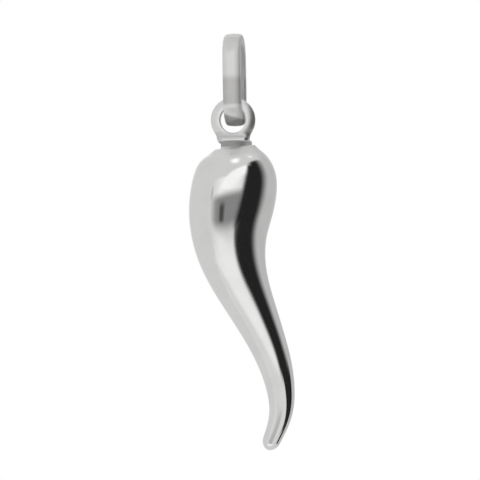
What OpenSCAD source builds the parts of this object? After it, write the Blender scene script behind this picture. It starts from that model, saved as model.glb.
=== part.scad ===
// Horn charm: a polished horn with one soldered eyelet, hanging free in an oval bail.
// Millimetres. +Z is up, +X is right seen from the front, and the front faces -Y.
// The origin is where a chain sits: the highest point of the space inside the bail.

/* [Bail] */
// Height of the bail over its outer faces
bail_h = 6.5; // [6.3:0.1:8]
// Depth of the bail, front to back, over its outer faces
bail_depth = 3.1; // [3:0.05:3.4]
// Width of the bail's half-round band
band_w = 1.24; // [1:0.02:1.26]
// Thickness of the band at its middle
band_t = 0.8; // [0.6:0.05:0.8]
// Rise of the band's domed outer face
band_dome = 0.25; // [0.1:0.05:0.3]
// Chamfer along the band's inner edges
band_chamfer = 0.12; // [0.05:0.01:0.15]

/* [Eyelet] */
// Thickness of the eyelet's round wire
wire_d = 0.71; // [0.6:0.01:0.75]
// Width of the hole through the eyelet
hole_d = 1.82; // [1.7:0.01:1.9]
// How far the eyelet's middle lies to the left of the swing axis
eyelet_shift = 0.15; // [0:0.01:0.16]
// How deep the eyelet's wire is soldered into the foot below it
solder_depth = 0.5; // [0.3:0.01:0.52]

/* [Foot and neck] */
// Width of the flat foot that carries the eyelet
foot_w = 2.34; // [2.2:0.02:2.4]
// Depth of the foot, front to back
foot_depth = 0.9; // [0.8:0.05:1]
// Height of the foot
foot_h = 0.4; // [0.35:0.01:0.5]
// Width of the round neck between the foot and the horn
neck_w = 2.18; // [2.1:0.02:2.3]
// Height of the neck
neck_h = 0.44; // [0.4:0.02:0.6]
// How far the neck's middle lies to the right of the swing axis
neck_shift = 0.06; // [0:0.01:0.06]

/* [Horn] */
// Length of the horn below the neck
horn_len = 21.2; // [18:0.1:26]
// Width of the horn at its widest
horn_w = 6.1; // [5:0.1:7]
// Size of the sideways S-bend
bend = 3.6; // [2.8:0.1:4.2]
// Length of the rounding at the tip
tip_round = 0.74; // [0.4:0.02:0.9]

/* [Hidden] */

// Curves of the round primitives
arc_steps = 64;
// Sides of the horn, rings between two sections, and rings in the last stretch with the rounding
horn_sides = 36;
rings_per_section = 4;
tip_rings = 9;

// The bail's band follows two half circles joined by straight legs
bend_r = bail_depth / 2 - band_t / 2;
leg_len = bail_h - bail_depth;
top_centre_z = -(bail_depth / 2 - band_t);
low_centre_z = top_centre_z - leg_len;
dome_r = (pow(band_w / 2, 2) + pow(band_dome, 2)) / (2 * band_dome);

// The swing axis runs front to back, just above the middle of the bail's lower bar,
// where all corners of the bar are about equally far from it
axis_rise = 0.05;
swing_z = low_centre_z - bend_r + axis_rise;

ring_r = (hole_d + wire_d) / 2;
foot_top = ring_r + wire_d / 2 - solder_depth;
foot_low = foot_top + foot_h;

// The neck starts a little inside the foot and flares into the horn just above its lower end
neck_sunk = 0.04;
neck_top = foot_low - neck_sunk;
neck_low = foot_low + neck_h;
neck_share = 0.35;
neck_step = neck_share * (neck_low - neck_top);
flare_rise = 0.055;
flare_spread = 0.03;

// Sections of the horn, in percent of its length, of the bend and of half its width.
// The last one only steers the tip.
// Each row: [down from the neck, to the right, radius]
horn_sections = [
    [  0.0,   2,  46  ],
    [  0.6,   2,  52  ],
    [  1.8,   2,  61.5],
    [  3.7,   2,  79  ],
    [  7.5,   0,  94  ],
    [ 13.5,  -4, 100  ],
    [ 21.0, -14,  98  ],
    [ 29.5, -17,  87  ],
    [ 38.0,  -9,  75  ],
    [ 46.5,   9,  62  ],
    [ 55.0,  32,  52.5],
    [ 63.5,  54,  44  ],
    [ 72.0,  72,  38  ],
    [ 80.5,  82,  32  ],
    [ 89.0,  82,  26  ],
    [ 99.0,  54,  18  ],
    [113.0,  12,  17  ]
];

// All sections in millimetres from the swing axis. Each row: [x, drop, radius]
neck_rows = [
    for (k = [-1:2]) [neck_shift, neck_top + k * neck_step, neck_w / 2],
    [neck_shift, neck_low - flare_rise, neck_w / 2 + flare_spread]
];
horn_rows = [
    for (s = horn_sections)
        [s[1] / 100 * bend, neck_low + s[0] / 100 * horn_len, s[2] / 100 * horn_w / 2]
];
rows = concat(neck_rows, horn_rows);
spans = len(rows) - 3;

// Weights of a smooth curve through four neighbouring rows, and of its slope
function weights(t) = [
    pow(1 - t, 3),
    3 * pow(t, 3) - 6 * pow(t, 2) + 4,
    -3 * pow(t, 3) + 3 * pow(t, 2) + 3 * t + 1,
    pow(t, 3)
] / 6;
function slope_weights(t) = [
    -pow(1 - t, 2),
    3 * pow(t, 2) - 4 * t,
    -3 * pow(t, 2) + 2 * t + 1,
    pow(t, 2)
] / 2;
function mix(i, w) = w[0] * rows[i] + w[1] * rows[i + 1] + w[2] * rows[i + 2] + w[3] * rows[i + 3];

// Places of the rings along the curve: even down to the last span, then closer towards the tip
even_rings = (spans - 1) * rings_per_section;
stations = [
    for (k = [0:even_rings - 1]) k / rings_per_section,
    for (k = [0:tip_rings]) spans - pow(1 - k / tip_rings, 2)
];
function span_of(u) = min(floor(u), spans - 1);
function section(u) = mix(span_of(u), weights(u - span_of(u)));
function slope(u) = mix(span_of(u), slope_weights(u - span_of(u)));

// Radius factor of the rounding, from how far a section lies above the tip
tip_section = section(spans);
function rounding(left) = left >= tip_round ? 1 : sqrt(1 - pow(1 - left / tip_round, 2));
function from_tip(s) = norm([s[0] - tip_section[0], s[1] - tip_section[1]]);

// One ring of points, square to the curve's slope
function ring(u) =
    let (
        s = section(u),
        d = slope(u),
        run = norm([d[0], d[1]]),
        r = s[2] * rounding(from_tip(s))
    )
    [
        for (k = [0:horn_sides - 1])
            let (a = 360 * k / horn_sides)
            [
                s[0] + r * cos(a) * d[1] / run,
                r * sin(a),
                -s[1] + r * cos(a) * d[0] / run
            ]
    ];

rings = [for (k = [0:len(stations) - 2]) ring(stations[k])];
tip_point = [tip_section[0], 0, -tip_section[1]];

// The band's section: flat inner face at the left, domed outer face at the right
module band_section() {
    inner = -band_t / 2;
    beyond = band_t;
    side = band_w / 2;
    intersection() {
        polygon([
            [inner + band_chamfer, -side],
            [beyond, -side],
            [beyond, side],
            [inner + band_chamfer, side],
            [inner, side - band_chamfer],
            [inner, band_chamfer - side]
        ]);
        translate([band_t / 2 - dome_r, 0]) circle(r = dome_r, $fn = arc_steps);
    }
}

// Half of a round loop about the X axis, bulging up
module half_loop() {
    rotate([0, -90, 0])
        rotate([0, 0, -90])
            rotate_extrude(angle = 180, $fn = arc_steps)
                translate([bend_r, 0]) band_section();
}

module leg(side) {
    translate([0, side * bend_r, low_centre_z])
        rotate([0, 0, side * 90])
            linear_extrude(height = leg_len) band_section();
}

module bail() {
    color("silver")
        union() {
            translate([0, 0, top_centre_z]) half_loop();
            translate([0, 0, low_centre_z]) mirror([0, 0, 1]) half_loop();
            leg(1);
            leg(-1);
        }
}

module horn_body() {
    n = horn_sides;
    last = (len(rings) - 1) * n;
    tip = len(rings) * n;
    polyhedron(
        points = concat([for (r = rings, p = r) p], [tip_point]),
        faces = concat(
            [[for (k = [0:n - 1]) n - 1 - k]],
            [
                for (i = [0:len(rings) - 2], k = [0:n - 1])
                    let (a = i * n + k, b = i * n + (k + 1) % n)
                    [a, b, a + n]
            ],
            [
                for (i = [0:len(rings) - 2], k = [0:n - 1])
                    let (a = i * n + k, b = i * n + (k + 1) % n)
                    [b, b + n, a + n]
            ],
            [for (k = [0:n - 1]) [last + k, last + (k + 1) % n, tip]]
        )
    );
}

// A flat bar with round ends, as deep as the wire and a little more
module foot() {
    translate([-eyelet_shift, 0, -foot_low])
        linear_extrude(height = foot_h)
            union() {
                square([foot_w - foot_depth, foot_depth], center = true);
                for (side = [-1, 1])
                    translate([side * (foot_w - foot_depth) / 2, 0])
                        circle(d = foot_depth, $fn = arc_steps);
            }
}

module eyelet() {
    translate([-eyelet_shift, 0, 0])
        rotate([90, 0, 0])
            rotate_extrude($fn = arc_steps)
                translate([ring_r, 0]) circle(d = wire_d, $fn = arc_steps);
}

module horn() {
    color("gainsboro")
        translate([0, 0, swing_z])
            union() {
                horn_body();
                foot();
                eyelet();
            }
}

bail();
horn();
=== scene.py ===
import bpy
import math
from mathutils import Matrix, Vector


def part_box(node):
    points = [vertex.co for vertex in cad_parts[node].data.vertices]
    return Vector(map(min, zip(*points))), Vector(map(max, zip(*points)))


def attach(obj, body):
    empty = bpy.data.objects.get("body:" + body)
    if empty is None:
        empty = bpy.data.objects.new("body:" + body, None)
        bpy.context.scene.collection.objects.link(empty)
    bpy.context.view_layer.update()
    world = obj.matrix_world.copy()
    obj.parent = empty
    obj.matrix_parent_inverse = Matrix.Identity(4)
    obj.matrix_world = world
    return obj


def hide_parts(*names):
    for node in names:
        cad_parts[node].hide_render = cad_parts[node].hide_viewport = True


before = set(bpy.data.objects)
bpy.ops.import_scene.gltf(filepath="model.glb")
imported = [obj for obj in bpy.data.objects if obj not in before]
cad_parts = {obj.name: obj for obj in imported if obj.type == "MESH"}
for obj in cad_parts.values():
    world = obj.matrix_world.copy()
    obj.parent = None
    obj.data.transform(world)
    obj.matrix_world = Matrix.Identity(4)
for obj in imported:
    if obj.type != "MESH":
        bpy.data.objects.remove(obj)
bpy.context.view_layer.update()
print("frame loaded:", ", ".join(sorted(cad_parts)))

mm = 0.001


# Sums on sockets: an expression on wires adds its Math nodes
class Wire:
    def __init__(self, board, socket):
        self.board = board
        self.socket = socket

    def calc(self, operation, *values):
        return self.board.maths(operation, *values)

    def __add__(self, other):
        return self.calc("ADD", self, other)

    def __sub__(self, other):
        return self.calc("SUBTRACT", self, other)

    def __mul__(self, other):
        return self.calc("MULTIPLY", self, other)

    def __truediv__(self, other):
        return self.calc("DIVIDE", self, other)

    def __pow__(self, other):
        return self.calc("POWER", self, other)

    def __radd__(self, other):
        return self.calc("ADD", other, self)

    def __rsub__(self, other):
        return self.calc("SUBTRACT", other, self)

    def __rmul__(self, other):
        return self.calc("MULTIPLY", other, self)

    def __rtruediv__(self, other):
        return self.calc("DIVIDE", other, self)


# A node tree being built. add() sets a node's settings, then its sockets, and gives one output
class Board:
    def __init__(self, tree):
        self.tree = tree

    def add(self, kind, settings=None, sockets=None, out=0):
        node = self.tree.nodes.new(kind)
        for name, value in (settings or {}).items():
            setattr(node, name, value)
        pairs = enumerate(sockets) if isinstance(sockets, list) else (sockets or {}).items()
        for name, value in pairs:
            if isinstance(value, Wire):
                value = [value]
            if isinstance(value, list):  # a socket that takes several links
                for wire in value:
                    self.tree.links.new(wire.socket, node.inputs[name])
            else:
                node.inputs[name].default_value = value
        return Wire(self, node.outputs[out]) if node.outputs else node

    def more(self, wire, out):  # another output of the node that a wire comes from
        return Wire(self, wire.socket.node.outputs[out])

    def maths(self, operation, *values):
        return self.add("ShaderNodeMath", {"operation": operation}, list(values))

    def smallest(self, a, b):
        return self.maths("MINIMUM", a, b)

    def largest(self, a, b):
        return self.maths("MAXIMUM", a, b)

    def absolute(self, value):
        return self.maths("ABSOLUTE", value)

    def root(self, value):
        return self.maths("SQRT", value)

    def length(self, *parts):
        return self.root(sum((part * part for part in parts[1:]), parts[0] * parts[0]))

    def split(self, vector):
        first = self.add("ShaderNodeSeparateXYZ", {}, [vector])
        return first, self.more(first, 1), self.more(first, 2)

    def join(self, x, y, z):
        return self.add("ShaderNodeCombineXYZ", {}, [x, y, z])

    def pick(self, test, yes, no):  # yes where test is 1, no where it is 0
        return no + test * (yes - no)

    def rise(self, value, low, high, start=0.0, end=1.0):  # a soft step from start to end
        settings = {"interpolation_type": "SMOOTHSTEP"}
        return self.add("ShaderNodeMapRange", settings, {0: value, 1: low, 2: high, 3: start, 4: end})

    def fall(self, value, low, high):
        return self.rise(value, low, high, 1.0, 0.0)


# A Geometry Nodes tree with named inputs, whose geometry input is first
def newTree(name, inputs):
    tree = bpy.data.node_groups.new(name, "GeometryNodeTree")
    tree.interface.new_socket("Geometry", in_out="OUTPUT", socket_type="NodeSocketGeometry")
    tree.interface.new_socket("Geometry", in_out="INPUT", socket_type="NodeSocketGeometry")
    for label, value in inputs.items():
        kind = "NodeSocketInt" if isinstance(value, int) else "NodeSocketFloat"
        socket = tree.interface.new_socket(label, in_out="INPUT", socket_type=kind)
        socket.default_value = value
    tree.interface.new_socket("Finish", in_out="INPUT", socket_type="NodeSocketMaterial")
    board = Board(tree)
    entry = tree.nodes.new("NodeGroupInput")
    wires = {socket.name: Wire(board, socket) for socket in entry.outputs if socket.name}
    return board, wires


# The end of every tree: real faces, smooth but for the creases over the given angle, in the piece's finish
def endTree(board, mesh, finish, crease):
    solid = board.add("GeometryNodeRealizeInstances", {}, [mesh])
    smooth = board.add("GeometryNodeSetShadeSmooth", {"domain": "FACE"}, {"Geometry": solid})
    angle = board.add("GeometryNodeInputMeshEdgeAngle")
    sharp = board.maths("GREATER_THAN", angle, math.radians(crease))
    creased = board.add("GeometryNodeSetShadeSmooth", {"domain": "EDGE"},
                        {"Geometry": smooth, "Selection": sharp, "Shade Smooth": False})
    done = board.add("GeometryNodeSetMaterial", {}, {"Geometry": creased, "Material": finish})
    board.add("NodeGroupOutput", {}, [done])


# Runs a tree on its source and keeps the result as a plain mesh piece
def buildPiece(name, source, tree, values):
    bench = bpy.data.objects.new(name + "Bench", source)
    builder = bench.modifiers.new("builder", "NODES")
    builder.node_group = tree
    for item in tree.interface.items_tree:
        if item.in_out == "INPUT" and item.name in values:
            builder[item.identifier] = values[item.name]
    bpy.context.scene.collection.objects.link(bench)
    made = bench.evaluated_get(bpy.context.evaluated_depsgraph_get())
    mesh = bpy.data.meshes.new_from_object(made)
    mesh.name = name
    bpy.data.objects.remove(bench)
    piece = bpy.data.objects.new(name, mesh)
    bpy.context.scene.collection.objects.link(piece)
    return piece


# What all the metal has in common
metal = {
    "hazeTint": 0.95,        # the share of its brightness that the metal keeps where its polish is hazy
    # the colour of the painted shade and painted reflections laid on the metal
    "paintedShade": (0.30, 0.295, 0.285),
    "clouds": {"size": 1.6 * mm, "detail": 3.0, "roughness": 0.55},    # patches of haze
    "cloudRange": (0.35, 0.75),
    "hairs": {"size": 0.05 * mm, "detail": 2.0, "roughness": 0.6},     # polishing hairlines
    "hairRange": (0.62, 0.78),
    "hairStretch": 0.06,     # the height is squeezed to this share, so that they run along it
    "hairBump": {"Strength": 0.5, "Distance": 0.0006 * mm},
    "waves": {"size": 3.2 * mm, "detail": 1.0, "roughness": 0.4},      # the unevenness of hand polish
    "waveBump": {"Strength": 1.0, "Distance": 0.0022 * mm},
}


# The piece gives the metal's colour, how dull its shine is, and how much haze and hairlines dull it.
# The second function says where it is duller still, and how much painted shade and painted reflection
# darken its colour
def polishedMetal(name, piece, dullAndShade):
    material = bpy.data.materials.new(name)
    material.use_nodes = True
    material.node_tree.nodes.clear()
    board = Board(material.node_tree)
    place = board.more(board.add("ShaderNodeTexCoord"), "Object")
    x, y, z = board.split(place)

    def noise(vector, size, detail, roughness):
        return board.add("ShaderNodeTexNoise", {}, {"Vector": vector, "Scale": 1 / size,
                                                     "Detail": detail, "Roughness": roughness})

    def blend(share, plain, other):
        return board.add("ShaderNodeMix", {"data_type": "RGBA"}, {0: share, 6: plain, 7: other}, out=2)

    clouded = board.rise(noise(place, **metal["clouds"]), *metal["cloudRange"])
    stretched = board.join(x, y, z * metal["hairStretch"])
    hairline = board.rise(noise(stretched, **metal["hairs"]), *metal["hairRange"])

    dull, shadeShare = dullAndShade(board, x, y, z)
    roughness = piece["shine"] + clouded * piece["haze"] + hairline * piece["hairs"] + dull
    hazed = [part * metal["hazeTint"] for part in piece["colour"]]
    tint = blend(clouded, (*piece["colour"], 1.0), (*hazed, 1.0))
    # painted shade and painted reflections darken the colour where the second function asks
    tint = blend(shadeShare, tint, (*metal["paintedShade"], 1.0))

    wave = noise(place, **metal["waves"])
    waved = board.add("ShaderNodeBump", {}, {**metal["waveBump"], "Height": wave})
    scored = board.add("ShaderNodeBump", {},
                       {**metal["hairBump"], "Height": 1 - hairline, "Normal": waved})
    shader = board.add("ShaderNodeBsdfPrincipled", {},
                       {"Base Color": tint, "Metallic": 1.0, "Roughness": roughness, "Normal": scored})
    board.add("ShaderNodeOutputMaterial", {}, {"Surface": shader})
    return material


# The horn: a tapering S-curve with a short neck, the eyelet's foot and the eyelet.
# Sizes in millimetres, heights downward from the swing axis
horn = {
    "colour": (0.905, 0.903, 0.897),
    "shine": 0.07,
    "haze": 0.05,
    "hairs": 0.04,
    "hinge": 5.25,          # the swing axis below the origin
    "length": 21.2,
    "halfWidth": 3.05,
    "bend": 3.6,
    "tipRound": 0.74,
    "neckTop": 1.48,
    "neckLow": 1.96,
    "neckRadius": 1.09,
    "neckShift": 0.06,
    "neckEdge": 0.10,
    "neckStep": 0.35,       # from one of the neck's sections to the next, as a share of its height
    "flareRise": 0.055,     # the neck starts to flare this far above its lower end
    "flareSpread": 0.03,
    "ringRadius": 1.265,
    "wireRadius": 0.355,
    "wireCrown": 0.90,      # where the eyelet's flattened front is highest, from its middle
    "rimSoftness": 0.04,    # how round the wire's outer rim is
    "boreSoftness": 0.07,   # and the rim of the hole
    "shift": -0.15,         # the eyelet's middle from the swing axis
    "coreInset": 0.04,      # how far the drawn tube stays inside the cast neck
    "footTop": 1.155,
    "footWidth": 2.30,
    "footDepth": 0.90,
    "footHeight": 0.46,
    "footEdge": 0.20,
    "footTaper": 0.18,      # how much the foot narrows on each side towards the neck, per millimetre
    "solder": 0.50,         # how softly the wire runs into its foot
    "seam": 0.18,           # and the foot into the neck
    "sides": 112,
    "rings": 360,
    "weld": 0.0002,         # points nearer than this are merged
    "grain": 0.03,          # the cells of the volume that the neck, foot and eyelet are cast from
    "margin": 0.1,          # how far that volume goes beyond them
    "crease": 32,           # edges sharper than this angle, in degrees, stay sharp
}

# Dullness and painted shade of the horn. Each pair of heights or distances is where a mark fades in or out
hornMarks = {
    "eyeletEnd": (1.3, 1.5),
    "footStart": (0.75, 0.95),
    "grooveStart": (1.38, 1.54),
    "grooveEnd": (1.82, 1.97),
    "grooveAround": (1.15, 1.5),   # from the upright axis
    "grooveRight": (0.55, 1.0),    # the groove's painted shade thins out towards the right
    "flareEnd": (2.25, 2.8),
    "eyeletDull": 0.33,
    "grooveDull": 0.3,
    "flareDull": 0.34,
    "footShade": 0.3,
    "grooveShade": 0.6,
}

# Sections of the horn, in percent of its length, of the bend and of half its width
hornSections = [
    # down, right, radius
    (0.0, 2, 46), (0.6, 2, 52), (1.8, 2, 61.5), (3.7, 2, 79), (7.5, 0, 94), (13.5, -4, 100),
    (21.0, -14, 98), (29.5, -17, 87), (38.0, -9, 75), (46.5, 9, 62), (55.0, 32, 52.5),
    (63.5, 54, 44), (72.0, 72, 38), (80.5, 82, 32), (89.0, 82, 26), (99.0, 54, 18), (113.0, 12, 17),
]


# The line of section centres, each with its radius, that the horn's skin is drawn over.
# The skin follows it smoothly, and the first and last rows only steer its ends
def sectionLine():
    step = horn["neckStep"] * (horn["neckLow"] - horn["neckTop"])
    core = horn["neckRadius"] - horn["coreInset"]
    rows = [(horn["neckShift"], horn["neckTop"] + k * step, core) for k in (-1, 0, 1, 2)]
    rows.append((horn["neckShift"], horn["neckLow"] - horn["flareRise"],
                 horn["neckRadius"] + horn["flareSpread"]))
    for down, right, radius in hornSections:
        rows.append((right / 100 * horn["bend"], horn["neckLow"] + down / 100 * horn["length"],
                     radius / 100 * horn["halfWidth"]))
    line = bpy.data.curves.new("sections", "CURVE")
    line.dimensions = "3D"
    line.twist_mode = "Z_UP"
    spline = line.splines.new("NURBS")
    spline.points.add(len(rows) - 1)
    for point, (across, drop, radius) in zip(spline.points, rows):
        point.co = (across, 0, -drop, 1)
        point.radius = radius
    spline.order_u = 4
    spline.resolution_u = 64
    return line


# Distance from an upright slab between two drops, with the given distance from its plan and round edges
def softSlab(board, plan, z, top, bottom, edge):
    rise = board.absolute(z + (top + bottom) * 0.5) - ((bottom - top) * 0.5 - edge)
    beyond = plan + edge
    outside = board.length(board.largest(beyond, 0.0), board.largest(rise, 0.0))
    return outside + board.smallest(board.largest(beyond, rise), 0.0) - edge


# The tree works in millimetres from the swing axis and scales its result at the end
def hornTree(values):
    board, ins = newTree("polishedHorn", values)
    line = ins["Geometry"]
    total = board.add("GeometryNodeCurveLength", {}, [line])

    # a closed tube is laid along the line: its height becomes the way along, rings closer at both ends
    tube = board.add("GeometryNodeMeshCylinder", {"fill_type": "TRIANGLE_FAN"},
                     {"Vertices": ins["Sides"], "Side Segments": ins["Rings"], "Radius": 1.0, "Depth": 1.0})
    px, py, pz = board.split(board.add("GeometryNodeInputPosition"))
    along = total * (0.5 - 0.5 * board.maths("COSINE", (0.5 - pz) * math.pi))
    girth = board.add("GeometryNodeInputRadius")
    sample = board.add("GeometryNodeSampleCurve", {"mode": "LENGTH", "data_type": "FLOAT"},
                       {"Curves": line, "Value": girth, "Length": along})
    cx, _, cz = board.split(board.more(sample, "Position"))
    tx, _, tz = board.split(board.more(sample, "Tangent"))
    tipSide = 1 - board.smallest((total - along) / ins["Tip Round"], 1.0)
    rounded = sample * board.root(board.largest(1 - tipSide * tipSide, 0.0))
    neckSide = 1 - board.smallest(along / ins["Neck Edge"], 1.0)
    rounded = rounded - ins["Neck Edge"] * (1 - board.root(board.largest(1 - neckSide * neckSide, 0.0)))
    place = board.join(cx - rounded * px * tz, rounded * py, cz + rounded * px * tx)
    skin = board.add("GeometryNodeSetPosition", {}, {"Geometry": tube, "Position": place})
    body = board.add("GeometryNodeMergeByDistance", {}, {"Geometry": skin, "Distance": ins["Weld"]})

    # the eyelet, its foot and the neck are one soft-edged form, as solder leaves them
    qx, qy, qz = board.split(board.add("GeometryNodeInputPosition"))
    across = qx - ins["Shift"]
    radial = board.length(across, qz)
    share = (ins["Ring Radius"] + ins["Wire Radius"] - ins["Wire Crown"]) ** 2 / ins["Wire Radius"]
    domeRadius = (share + ins["Wire Radius"]) * 0.5
    sunk = (share - ins["Wire Radius"]) * 0.5 + board.length(qy, ins["Rim Softness"])
    dome = board.length(radial - ins["Wire Crown"], sunk) - domeRadius
    bore = ins["Ring Radius"] - ins["Wire Radius"] - radial
    wire = board.maths("SMOOTH_MAX", dome, bore, ins["Bore Softness"])
    taper = ins["Foot Taper"] * (qz + ins["Foot Top"])
    barHalf = (ins["Foot Width"] - ins["Foot Depth"]) * 0.5 + taper
    beside = board.largest(board.absolute(across) - barHalf, 0.0)
    foot = softSlab(board, board.length(beside, qy) - ins["Foot Depth"] * 0.5, qz,
                    ins["Foot Top"], ins["Foot Top"] + ins["Foot Height"], ins["Foot Edge"])
    neck = softSlab(board, board.length(qx - ins["Neck Shift"], qy) - ins["Neck Radius"], qz,
                    ins["Neck Top"], ins["Neck Low"] + ins["Neck Edge"], ins["Neck Edge"])
    based = board.maths("SMOOTH_MIN", foot, neck, ins["Seam"])
    blend = board.maths("SMOOTH_MIN", wire, based, ins["Solder"])

    # it is cast from a volume with a margin round it
    reach = ins["Ring Radius"] + ins["Wire Radius"] + ins["Margin"]
    depth = ins["Neck Radius"] + ins["Margin"]
    bottom = ins["Neck Low"] + ins["Neck Edge"] + ins["Margin"]
    low = board.join(ins["Shift"] - reach, -1.0 * depth, -1.0 * bottom)
    high = board.join(ins["Shift"] + reach, depth, reach)
    spans = [reach * 2.0, depth * 2.0, reach + bottom]
    cells = [board.add("FunctionNodeFloatToInt", {"rounding_mode": "ROUND"}, [span / ins["Grain"]])
             for span in spans]
    mould = board.add("GeometryNodeVolumeCube", {},
                      {"Density": 1 - blend, "Min": low, "Max": high,
                       "Resolution X": cells[0], "Resolution Y": cells[1], "Resolution Z": cells[2]})
    cast = board.add("GeometryNodeVolumeToMesh", {"resolution_mode": "GRID"},
                     {"Volume": mould, "Threshold": 1.0})

    fused = board.add("GeometryNodeMeshBoolean", {"operation": "UNION", "solver": "MANIFOLD"},
                      {"Mesh 2": [body, cast]})
    drop = board.join(0.0, 0.0, -mm * ins["Hinge"])
    sized = board.add("GeometryNodeTransform", {}, {"Geometry": fused, "Translation": drop,
                                                     "Scale": (mm, mm, mm)})
    endTree(board, sized, ins["Finish"], horn["crease"])
    return board.tree


# The eyelet, the groove under its foot and the flare below are duller than the horn's mirror.
# Painted shade darkens the groove, most at its left, and the foot a little
def hornDullAndShade(board, x, y, z):
    marks = hornMarks
    drop = -1 * (z + horn["hinge"] * mm) / mm
    below = board.rise(drop, *marks["grooveStart"])
    near = board.fall(board.length(x, y) / mm, *marks["grooveAround"])
    groove = below * board.fall(drop, *marks["grooveEnd"]) * near
    flare = below * board.fall(drop, *marks["flareEnd"])
    eyelet = board.fall(drop, *marks["eyeletEnd"])
    foot = board.rise(drop, *marks["footStart"]) * eyelet
    # painted shade in the groove under the foot, thinning out towards the right
    paintedShade = groove * board.fall(x / mm, *marks["grooveRight"])
    dull = flare * marks["flareDull"] + groove * marks["grooveDull"] + eyelet * marks["eyeletDull"]
    # the groove and the foot are darkened with painted shade
    return dull, paintedShade * marks["grooveShade"] + foot * marks["footShade"]


def makeHorn():
    values = {
        "Sides": horn["sides"], "Rings": horn["rings"], "Weld": horn["weld"],
        "Grain": horn["grain"], "Margin": horn["margin"],
        "Tip Round": horn["tipRound"], "Neck Edge": horn["neckEdge"], "Neck Shift": horn["neckShift"],
        "Neck Top": horn["neckTop"], "Neck Low": horn["neckLow"], "Neck Radius": horn["neckRadius"],
        "Ring Radius": horn["ringRadius"], "Wire Radius": horn["wireRadius"],
        "Wire Crown": horn["wireCrown"], "Rim Softness": horn["rimSoftness"],
        "Bore Softness": horn["boreSoftness"], "Shift": horn["shift"],
        "Foot Top": horn["footTop"], "Foot Width": horn["footWidth"], "Foot Depth": horn["footDepth"],
        "Foot Height": horn["footHeight"], "Foot Edge": horn["footEdge"], "Foot Taper": horn["footTaper"],
        "Solder": horn["solder"], "Seam": horn["seam"], "Hinge": horn["hinge"],
    }
    tree = hornTree(values)
    values["Finish"] = polishedMetal("mirrorPolish", horn, hornDullAndShade)
    piece = buildPiece("hornCharm", sectionLine(), tree, values)
    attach(piece, "horn")
    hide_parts("horn")
    print("horn made:", len(piece.data.polygons), "faces")


# The bail: a half-round band bent to an oval loop. Sizes in millimetres
bail = {
    "colour": (0.92, 0.918, 0.912),
    "shine": 0.42,
    "haze": 0.05,
    "hairs": 0.06,
    "height": 6.5,
    "depth": 3.1,
    "bandWidth": 1.24,
    "bandInner": 0.34,      # from the band's widest place to its flat inner face
    "bandOuter": 0.46,      # and to its crown
    "innerSquareness": 5.0,
    "outerSquareness": 9.0,
    "dome": 0.10,           # how much of the crown is a low dome over the whole width
    "bow": 0.03,            # how much deeper the loop is at its middle, as a share
    "roundness": 0.9999,    # of the loop's bends. At 1 their ends would meet in one point
    "cornerSteps": 96,
    "rings": 360,
    "sides": 96,
    "crease": 40,
}

# Dullness and painted shade of the bail, in millimetres from the origin. Each pair is where a mark fades in
bailMarks = {
    "edge": (0.15, 0.5),            # sideways from the band's middle
    "edgeDull": 0.26,
    "lowBendShadeTop": -4.9,               # where the painted shade of the lower bend begins
    "lowBendShadeFade": 0.25,
    "lowBendShadeSlant": 0.3,
    "lowBendShade": 0.68,
    "innerFace": (0.86, 0.76),      # from the loop's middle
    "innerShade": 0.28,
    "outerFace": (0.74, 0.88),
    "outerShade": 0.2,
    "lowerHalf": (-2.0, -2.6),      # the outer faces get more painted shade below their middle, a painted reflection
    "lowerShade": 0.32,
    "bend": (-4.05, -4.35),         # and less of it in the bend and along their edges
    "bendLessShade": 0.5,
    "edgeLessShade": 0.12,
}


def bailTree(values):
    board, ins = newTree("bandLoop", values)
    # the loop's middle line, between the band's faces
    turn = ins["Depth"] * 0.5 - ins["Band Outer"]
    loop = board.add("GeometryNodeCurvePrimitiveQuadrilateral", {"mode": "RECTANGLE"},
                     {"Width": turn * 2.0, "Height": ins["Height"] - ins["Band Outer"] * 2.0})
    oval = board.add("GeometryNodeFilletCurve", {"mode": "POLY"},
                     {"Curve": loop, "Count": ins["Corner Steps"],
                      "Radius": turn * ins["Roundness"], "Limit Radius": True})
    even = board.add("GeometryNodeResampleCurve", {}, {"Curve": oval, "Count": ins["Rings"]})
    stood = board.add("GeometryNodeSetCurveNormal", {"mode": "Z_UP"}, [even])

    ring = board.add("GeometryNodeCurvePrimitiveCircle", {"mode": "RADIUS"},
                     {"Resolution": ins["Sides"], "Radius": 1.0})
    px, py, _ = board.split(board.add("GeometryNodeInputPosition"))
    outward = board.maths("GREATER_THAN", px, 0.0)
    power = 2 / board.pick(outward, ins["Outer Squareness"], ins["Inner Squareness"])
    reach = board.pick(outward, ins["Band Outer"] - ins["Dome"], ins["Band Inner"])
    side = board.maths("SIGN", py) * board.absolute(py) ** power
    thick = board.maths("SIGN", px) * board.absolute(px) ** power * reach
    thick = thick + outward * ins["Dome"] * (1 - side * side)
    wide = side * ins["Band Width"] * 0.5
    band = board.add("GeometryNodeSetPosition", {},
                     {"Geometry": ring, "Position": board.join(thick, wide, 0.0)})
    swept = board.add("GeometryNodeCurveToMesh", {}, {"Curve": stood, "Profile Curve": band})

    # the loop is drawn flat, then stood up with its depth along Y and its top wall over the origin
    mx, my, mz = board.split(board.add("GeometryNodeInputPosition"))
    lift = ins["Band Inner"] + ins["Band Outer"] - ins["Height"] * 0.5
    height = my / (ins["Height"] * 0.5 - ins["Depth"] * 0.5)
    bowed = mx * (1 + ins["Bow"] * (1 - height * height))
    upright = board.join(mz * mm, bowed * mm, (my + lift) * mm)
    placed = board.add("GeometryNodeSetPosition", {}, {"Geometry": swept, "Position": upright})
    endTree(board, placed, ins["Finish"], bail["crease"])
    return board.tree
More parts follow.
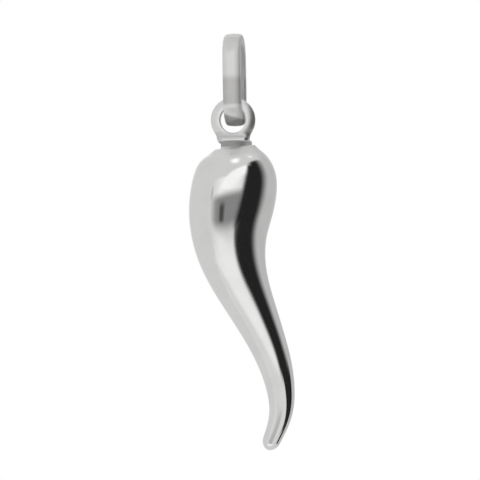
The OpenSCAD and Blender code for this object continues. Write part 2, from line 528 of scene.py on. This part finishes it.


# The band's edges are duller. Painted shade lies in the lower bend, under the eyelet, and on the inner
# face, and a breath of it over the outer faces, more on their lower half, as a painted reflection
def bailDullAndShade(board, x, y, z):
    marks = bailMarks
    edge = board.rise(board.absolute(x) / mm, *marks["edge"])
    depth = (z + x * marks["lowBendShadeSlant"]) / mm
    # painted shade in the lower bend, under the eyelet
    lower = board.rise(depth, marks["lowBendShadeTop"], marks["lowBendShadeTop"] - marks["lowBendShadeFade"])

    # the loop's middle is the line between the centres of its two bends
    topCentre = bail["bandInner"] + bail["bandOuter"] - bail["depth"] / 2
    lowCentre = topCentre - (bail["height"] - bail["depth"])
    beyond = z / mm - board.largest(board.smallest(z / mm, topCentre), lowCentre)
    # painted shade on the band's inner face
    inside = board.rise(board.length(y / mm, beyond), *marks["innerFace"])

    outer = board.rise(board.absolute(y) / mm, *marks["outerFace"])
    half = board.rise(z / mm, *marks["lowerHalf"])
    bend = board.rise(z / mm, *marks["bend"])
    # painted shade and painted reflection over the outer faces, more below their middle, less in the bend
    # and along the edges
    breath = (marks["outerShade"] + half * marks["lowerShade"]
              - bend * marks["bendLessShade"] - edge * marks["edgeLessShade"])
    shadeShare = board.largest(lower * marks["lowBendShade"], outer * breath)
    return edge * marks["edgeDull"], board.largest(shadeShare, inside * marks["innerShade"])


def makeBail():
    values = {
        "Rings": bail["rings"], "Sides": bail["sides"],
        "Roundness": bail["roundness"], "Corner Steps": bail["cornerSteps"],
        "Height": bail["height"], "Depth": bail["depth"], "Band Width": bail["bandWidth"],
        "Band Inner": bail["bandInner"], "Band Outer": bail["bandOuter"],
        "Inner Squareness": bail["innerSquareness"], "Outer Squareness": bail["outerSquareness"],
        "Dome": bail["dome"], "Bow": bail["bow"],
    }
    tree = bailTree(values)
    values["Finish"] = polishedMetal("satin", bail, bailDullAndShade)
    piece = buildPiece("ovalBail", bpy.data.meshes.new("start"), tree, values)
    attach(piece, "bail")
    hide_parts("bail")
    print("bail made:", len(piece.data.polygons), "faces")


# The camera
shot = {
    "azimuth": 9.0,          # how far the camera stands to the object's right, in degrees
    "roll": 1.0,
    "distance": 300 * mm,
    "frameWidth": 33.6 * mm,
    "sensor": 36,
    "clip": (0.01, 5),       # what it sees, from nearest to farthest, in metres
    "right": 0.336 * mm,     # the frame's middle, from the swing axis
    "up": -8.4 * mm,
}

azimuth = math.radians(shot["azimuth"])
level = Vector((math.cos(azimuth), math.sin(azimuth), 0))      # the camera's right, before its roll
towards = Vector((math.sin(azimuth), -math.cos(azimuth), 0))   # from the object to the camera
upward = Vector((0, 0, 1))


def makeCamera():
    roll = math.radians(shot["roll"])
    right = math.cos(roll) * level - math.sin(roll) * upward
    up = math.sin(roll) * level + math.cos(roll) * upward
    aim = Vector((0, 0, -horn["hinge"] * mm)) + shot["right"] * right + shot["up"] * up
    lens = bpy.data.cameras.new("camera")
    lens.sensor_width = shot["sensor"]
    lens.lens = shot["sensor"] * shot["distance"] / shot["frameWidth"]
    lens.clip_start, lens.clip_end = shot["clip"]
    camera = bpy.data.objects.new("camera", lens)
    bpy.context.scene.collection.objects.link(camera)
    turn = Matrix((right, up, towards)).transposed().to_4x4()
    camera.matrix_world = Matrix.Translation(aim + towards * shot["distance"]) @ turn
    bpy.context.scene.camera = camera


# The studio: a pale tent with soft cards, which only the metal sees
studio = {
    "tent": 0.66,            # what the metal sees of the tent's walls
    "middle": Vector((0, 0, -14.5 * mm)),
    "floorDrop": 22 * mm,
    "floorRadius": 260 * mm,
    "floorTone": (0.90, 0.90, 0.895),
    "floorRoughness": 0.8,
    "floorSides": 96,
    "keyFacing": (-25, 65),  # azimuth and elevation in degrees from the camera
    "keyDistance": 320 * mm,
    "keySize": 160 * mm,
    "keyPower": 0.9,
}

# Cards round the object. Each one faces the object's middle from a direction (azimuth and elevation in
# degrees from the camera). Its edges are millimetres from its centre, left, right, low and high, and soft
# says how wide each edge fades. Slant leans the left and right edges, lean turns the whole card
cards = {
    "frontPanel": {"facing": (-14, -4), "distance": 420, "edges": (-470, 500, -380, 250),
                   "soft": (420, 400, 60, 60), "glow": 0.90},
    "softBox": {"facing": (-8, 25), "distance": 400, "edges": (-430, 560, -200, 82),
                "soft": (90, 40, 120, 60), "lean": 38, "glow": 1.01},
    "boxFrame": {"facing": (-57, 7), "distance": 395, "edges": (-14, 14, -45, 45),
                 "soft": (10, 10, 30, 30), "glow": 0.33},
    "topLamp": {"facing": (3, 73), "distance": 300, "edges": (-72, 66, -90, 90),
                "soft": (66, 66, 85, 85), "glow": 1.2},
    "rearLamp": {"facing": (104, 64), "distance": 300, "edges": (-36, 36, -36, 36),
                 "soft": (34, 34, 34, 34), "glow": 1.1},
    "lowPanel": {"facing": (-12, -48), "distance": 300, "edges": (-280, 150, -130, 130),
                 "soft": (90, 70, 40, 70), "glow": 0.92},
    "rightPanel": {"facing": (128, 0), "distance": 380, "edges": (-350, 400, -450, 450),
                   "soft": (170, 330, 200, 200), "glow": 0.52},
    "backPanel": {"facing": (188, 4), "distance": 380, "edges": (-150, 150, -260, 200),
                  "soft": (110, 110, 160, 130), "glow": 0.95},
    "darkCard": {"facing": (62, 12), "distance": 260, "edges": (-222, 259, -310, 265),
                 "soft": (120, 205, 40, 60), "slant": (0.69, 0.12), "glow": 0.018},
    "lensShade": {"facing": (0, 0), "distance": 12, "edges": (-19, 6, -3.7, 5.6),
                  "soft": (11, 3, 2.9, 2.4), "glow": 0.25},
    "lensSide": {"facing": (0, 0), "distance": 11.9, "edges": (0.9, 8.6, -2.8, 24),
                 "soft": (4.0, 2.0, 1.0, 3), "slant": (0.4, 0.6), "glow": 0.018},
    "lensEdge": {"facing": (0, 0), "distance": 11.8, "edges": (-7.8, -3.1, -1.4, 3.4),
                 "soft": (1.9, 1.9, 0.8, 1.8), "glow": 0.07},
    "tailPanel": {"facing": (0, 0), "distance": 12, "edges": (-30, 4.8, -26, -8),
                  "soft": (18, 0.8, 2, 3), "slant": (0, -0.65), "glow": 0.71},
    "tipShade": {"facing": (0, 0), "distance": 11.7, "edges": (-8.5, 6, -26, -13),
                 "soft": (4.5, 4, 3, 2.4), "glow": 0.48},
    "tailShade": {"facing": (86, 0), "distance": 15, "edges": (-4, 3.6, -27, -3.6),
                  "soft": (1.5, 2.0, 4, 5), "glow": 0.013},
}


def direction(sideways, elevation):
    sideways, elevation = math.radians(sideways), math.radians(elevation)
    flat = math.cos(sideways) * towards + math.sin(sideways) * level
    return math.cos(elevation) * flat + math.sin(elevation) * upward


def cardMaterial(name, edges, soft, slant, glow):
    material = bpy.data.materials.new(name)
    material.use_nodes = True
    material.node_tree.nodes.clear()
    board = Board(material.node_tree)
    x, y, _ = board.split(board.more(board.add("ShaderNodeTexCoord"), "Object"))
    left, right, low, high = edges
    fromLeft = (x - y * slant[0]) / mm - left
    fromRight = right - (x - y * slant[1]) / mm
    shown = board.rise(fromLeft, 0.0, soft[0]) * board.rise(fromRight, 0.0, soft[1])
    shown = shown * board.rise(y / mm, low, low + soft[2]) * board.fall(y / mm, high - soft[3], high)
    light = board.add("ShaderNodeEmission", {}, {"Color": (1, 1, 1, 1), "Strength": glow})
    clear = board.add("ShaderNodeBsdfTransparent")
    mixed = board.add("ShaderNodeMixShader", {}, [shown, clear, light])
    board.add("ShaderNodeOutputMaterial", {}, {"Surface": mixed})
    material.cycles.emission_sampling = "NONE"
    return material


def makeCard(name, facing, distance, edges, soft, glow, slant=(0, 0), lean=0):
    left, right, low, high = edges
    corners = [(left + slant[0] * low, low), (right + slant[1] * low, low),
               (right + slant[1] * high, high), (left + slant[0] * high, high)]
    mesh = bpy.data.meshes.new(name)
    mesh.from_pydata([(x * mm, y * mm, 0) for x, y in corners], [], [(0, 1, 2, 3)])
    mesh.materials.append(cardMaterial(name, edges, soft, slant, glow))
    card = bpy.data.objects.new(name, mesh)
    bpy.context.scene.collection.objects.link(card)
    out = direction(*facing)
    side = direction(facing[0] + 90, 0)
    lift = out.cross(side)
    lean = math.radians(lean)
    turn = Matrix((math.cos(lean) * side + math.sin(lean) * lift,
                   math.cos(lean) * lift - math.sin(lean) * side, out)).transposed().to_4x4()
    card.matrix_world = Matrix.Translation(studio["middle"] + out * distance * mm) @ turn
    card.visible_camera = False
    card.visible_diffuse = False
    card.visible_transmission = False
    card.visible_shadow = False


def makeWorld():
    world = bpy.data.worlds.new("tent")
    world.use_nodes = True
    world.node_tree.nodes.clear()
    board = Board(world.node_tree)
    glossy = board.more(board.add("ShaderNodeLightPath"), "Is Glossy Ray")
    strength = 1 - glossy * (1 - studio["tent"])
    light = board.add("ShaderNodeBackground", {}, {"Color": (1, 1, 1, 1), "Strength": strength})
    board.add("ShaderNodeOutputWorld", {}, {"Surface": light})
    bpy.context.scene.world = world


def makeFloor():
    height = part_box("horn")[0].z - studio["floorDrop"]
    sides, radius = studio["floorSides"], studio["floorRadius"]
    turns = [math.tau * k / sides for k in range(sides)]
    mesh = bpy.data.meshes.new("floor")
    mesh.from_pydata([(radius * math.cos(a), radius * math.sin(a), height) for a in turns],
                     [], [tuple(range(sides))])
    paint = bpy.data.materials.new("floorPaint")
    paint.use_nodes = True
    shader = paint.node_tree.nodes["Principled BSDF"]
    shader.inputs["Base Color"].default_value = (*studio["floorTone"], 1)
    shader.inputs["Roughness"].default_value = studio["floorRoughness"]
    mesh.materials.append(paint)
    floor = bpy.data.objects.new("floor", mesh)
    bpy.context.scene.collection.objects.link(floor)
    floor.visible_glossy = False


def makeKeyLight():  # a soft shadow on the floor
    lamp = bpy.data.lights.new("keyLight", "AREA")
    lamp.shape = "SQUARE"
    lamp.size = studio["keySize"]
    lamp.energy = studio["keyPower"]
    key = bpy.data.objects.new("keyLight", lamp)
    bpy.context.scene.collection.objects.link(key)
    out = direction(*studio["keyFacing"])
    key.matrix_world = (Matrix.Translation(studio["middle"] + out * studio["keyDistance"])
                        @ out.to_track_quat("Z", "Y").to_matrix().to_4x4())
    key.visible_glossy = False
    key.visible_camera = False


makeHorn()
makeBail()
makeCamera()
makeWorld()
makeFloor()
makeKeyLight()
for name, values in cards.items():
    makeCard(name, **values)
bpy.context.scene.view_settings.view_transform = "Standard"
print("studio made")
